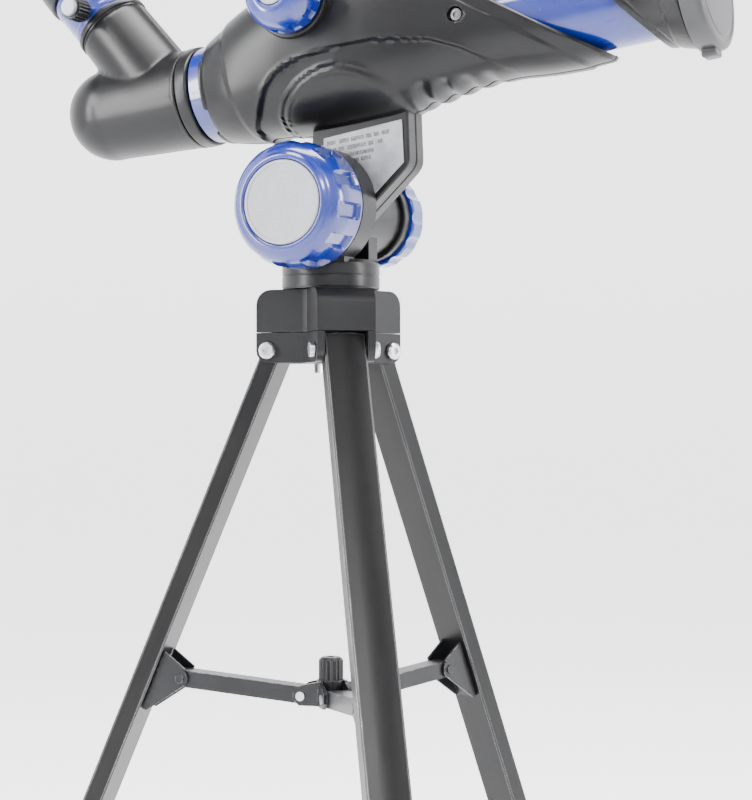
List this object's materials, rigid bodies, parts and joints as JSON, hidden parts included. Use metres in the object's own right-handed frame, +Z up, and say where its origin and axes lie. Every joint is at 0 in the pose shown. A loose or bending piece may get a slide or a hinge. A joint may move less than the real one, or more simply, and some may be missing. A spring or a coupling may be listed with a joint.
{
  "type": "refractor telescope on tripod",
  "caption": "Small refractor telescope with erecting diagonal and focus knob, on a folding three-leg tripod with pan and tilt head and centre spreader.",
  "frame": {"origin": "on the floor plane, at the middle of the bounding box of the standing telescope", "axes": "+Z up, +X towards the objective end, -Y the side of the large altitude knob and the focus knob"},
  "size_m": [0.403, 0.3342, 0.595],
  "materials": {
    "black_plastic": "satin black moulded ABS, light mould texture",
    "blue_plastic": "high gloss cobalt blue ABS",
    "black_metal": "black anodised, extruded",
    "painted_steel": "semi-gloss black painted pressed steel",
    "steel": "bright zinc plated",
    "silver_trim": "silver metallised disc",
    "label": "printed silver label film",
    "rubber": "matt",
    "glass": "coated crown glass",
    "mirror": "front surface mirror",
    "brass": "machined"
  },
  "bodies": {
    "tripod_hub": {"hub_cap": "black_plastic", "hub_bracket": "black_plastic", "leg_bolt_left": "steel", "leg_bolt_front": "steel", "leg_bolt_right": "steel"},
    "leg_left": {"leg_tube_left": "black_metal", "leg_plug_left": "black_plastic", "foot_left": "rubber", "spreader_bracket_left": "painted_steel"},
    "leg_front": {"leg_tube_front": "black_metal", "leg_plug_front": "black_plastic", "foot_front": "rubber", "spreader_bracket_front": "painted_steel"},
    "leg_right": {"leg_tube_right": "black_metal", "leg_plug_right": "black_plastic", "foot_right": "rubber", "spreader_bracket_right": "painted_steel"},
    "spreader": {"spreader_hub": "painted_steel", "arm_pin_left": "steel", "arm_pin_front": "steel", "arm_pin_right": "steel"},
    "thumb_knob": {"spreader_thumb_knob": "black_plastic"},
    "arm_left": {"spreader_arm_left": "painted_steel"},
    "arm_front": {"spreader_arm_front": "painted_steel"},
    "arm_right": {"spreader_arm_right": "painted_steel"},
    "head": {"yoke": "black_plastic", "pan_bolt": "steel", "altitude_bolt": "steel", "rear_flange": "black_plastic"},
    "altitude_clamp": {"altitude_knob": "blue_plastic", "altitude_knob_disc": "silver_trim"},
    "rear_clamp": {"rear_knob": "blue_plastic", "rear_knob_disc": "silver_trim"},
    "telescope": {"shell_near": "black_plastic", "shell_far": "black_plastic", "label_plate": "label", "shell_screw_1": "steel", "shell_screw_2": "steel", "tube_screw": "steel", "main_tube": "blue_plastic", "objective_cell": "black_plastic", "objective_lens": "glass", "dew_shield": "black_plastic"},
    "cap": {"dust_cap": "black_plastic"},
    "focus_drive": {"focus_knob": "blue_plastic", "focus_knob_disc": "silver_trim", "focus_pinion_shaft": "steel"},
    "draw": {"draw_tube": "blue_plastic", "focus_rack": "brass"},
    "diagonal": {"diagonal_collar": "black_plastic", "diagonal_body": "black_plastic", "diagonal_mirror": "mirror", "eyepiece_holder": "blue_plastic"},
    "clamp_screw": {"set_screw": "black_plastic", "set_screw_tip": "silver_trim"},
    "eyepiece": {"eyepiece_barrel": "black_plastic", "eyepiece_body": "black_plastic", "eye_lens": "glass", "eyecup": "rubber"}
  },
  "joints": [
    {"name": "pan_turn", "type": "hinge", "parent": "tripod_hub", "child": "head", "pos_m": [-0.01064, -0.01447, 0.395], "axis": [0, 0, 1], "continuous": true},
    {"name": "altitude_tilt", "type": "hinge", "parent": "head", "child": "telescope", "pos_m": [-0.01064, -0.01447, 0.4287], "axis": [0, -1, 0], "range_deg": [-30, 50]},
    {"name": "altitude_knob_turn", "type": "hinge", "parent": "head", "child": "altitude_clamp", "pos_m": [-0.01064, -0.01447, 0.4287], "axis": [0, 1, 0], "range_deg": [0, 360]},
    {"name": "rear_knob_turn", "type": "hinge", "parent": "head", "child": "rear_clamp", "pos_m": [-0.01064, -0.01447, 0.4287], "axis": [0, 1, 0], "range_deg": [0, 360]},
    {"name": "focus_travel", "type": "slide", "parent": "telescope", "child": "draw", "axis": [-0.9923, 0, -0.1236], "range_m": [-0.004, 0.018]},
    {"name": "focus_knob_turn", "type": "hinge", "parent": "telescope", "child": "focus_drive", "pos_m": [-0.01439, -0.01447, 0.53566], "axis": [0, 1, 0], "range_deg": [-58, 259]},
    {"name": "diagonal_turn", "type": "hinge", "parent": "draw", "child": "diagonal", "pos_m": [-0.01048, -0.01447, 0.5043], "axis": [0.9923, 0, 0.1236], "range_deg": [-100, 100]},
    {"name": "eyepiece_pull", "type": "slide", "parent": "diagonal", "child": "eyepiece", "axis": [-0.66, 0, 0.7513], "range_m": [0, 0.034]},
    {"name": "set_screw_turn", "type": "hinge", "parent": "diagonal", "child": "clamp_screw", "pos_m": [-0.15281, -0.01447, 0.54325], "axis": [0, 1, 0], "range_deg": [0, 360]},
    {"name": "dust_cap_pull", "type": "slide", "parent": "telescope", "child": "cap", "axis": [0.9923, 0, 0.1236], "range_m": [0, 0.03]},
    {"name": "leg_fold_left", "type": "hinge", "parent": "tripod_hub", "child": "leg_left", "pos_m": [-0.04018, -0.01968, 0.355], "axis": [0.1736, -0.9848, 0], "range_deg": [0, 14]},
    {"name": "leg_fold_front", "type": "hinge", "parent": "tripod_hub", "child": "leg_front", "pos_m": [0.00865, -0.03745, 0.355], "axis": [0.766, 0.6428, 0], "range_deg": [0, 14]},
    {"name": "leg_fold_right", "type": "hinge", "parent": "tripod_hub", "child": "leg_right", "pos_m": [-0.00038, 0.01372, 0.355], "axis": [-0.9397, 0.342, 0], "range_deg": [0, 14]},
    {"name": "spreader_slide", "type": "slide", "parent": "tripod_hub", "child": "spreader", "axis": [0, 0, -1], "range_m": [0, 0.0749]},
    {"name": "spreader_arm_left_hinge", "type": "hinge", "parent": "spreader", "child": "arm_left", "pos_m": [-0.02482, -0.01697, 0.17277], "axis": [-0.1736, 0.9848, 0], "range_deg": [0, 67.5]},
    {"name": "spreader_arm_front_hinge", "type": "hinge", "parent": "spreader", "child": "arm_front", "pos_m": [-0.00138, -0.0255, 0.17277], "axis": [-0.766, -0.6428, 0], "range_deg": [0, 67.5]},
    {"name": "spreader_arm_right_hinge", "type": "hinge", "parent": "spreader", "child": "arm_right", "pos_m": [-0.00571, -0.00093, 0.17277], "axis": [0.9397, -0.342, 0], "range_deg": [0, 67.5]},
    {"name": "thumb_knob_turn", "type": "hinge", "parent": "spreader", "child": "thumb_knob", "pos_m": [-0.01064, -0.01447, 0.17277], "axis": [0, 0, 1], "range_deg": [0, 360]}
  ],
  "couplings": [
    {"joint": "focus_knob_turn", "follows": "focus_travel", "rad_per_m": 250},
    {"joint": "leg_fold_front", "follows": "leg_fold_left", "ratio": 1},
    {"joint": "leg_fold_right", "follows": "leg_fold_left", "ratio": 1},
    {"joint": "spreader_slide", "follows": "leg_fold_left", "m_per_rad": 0.306},
    {"joint": "spreader_arm_left_hinge", "follows": "leg_fold_left", "ratio": 4.81},
    {"joint": "spreader_arm_front_hinge", "follows": "leg_fold_left", "ratio": 4.81},
    {"joint": "spreader_arm_right_hinge", "follows": "leg_fold_left", "ratio": 4.81}
  ]
}
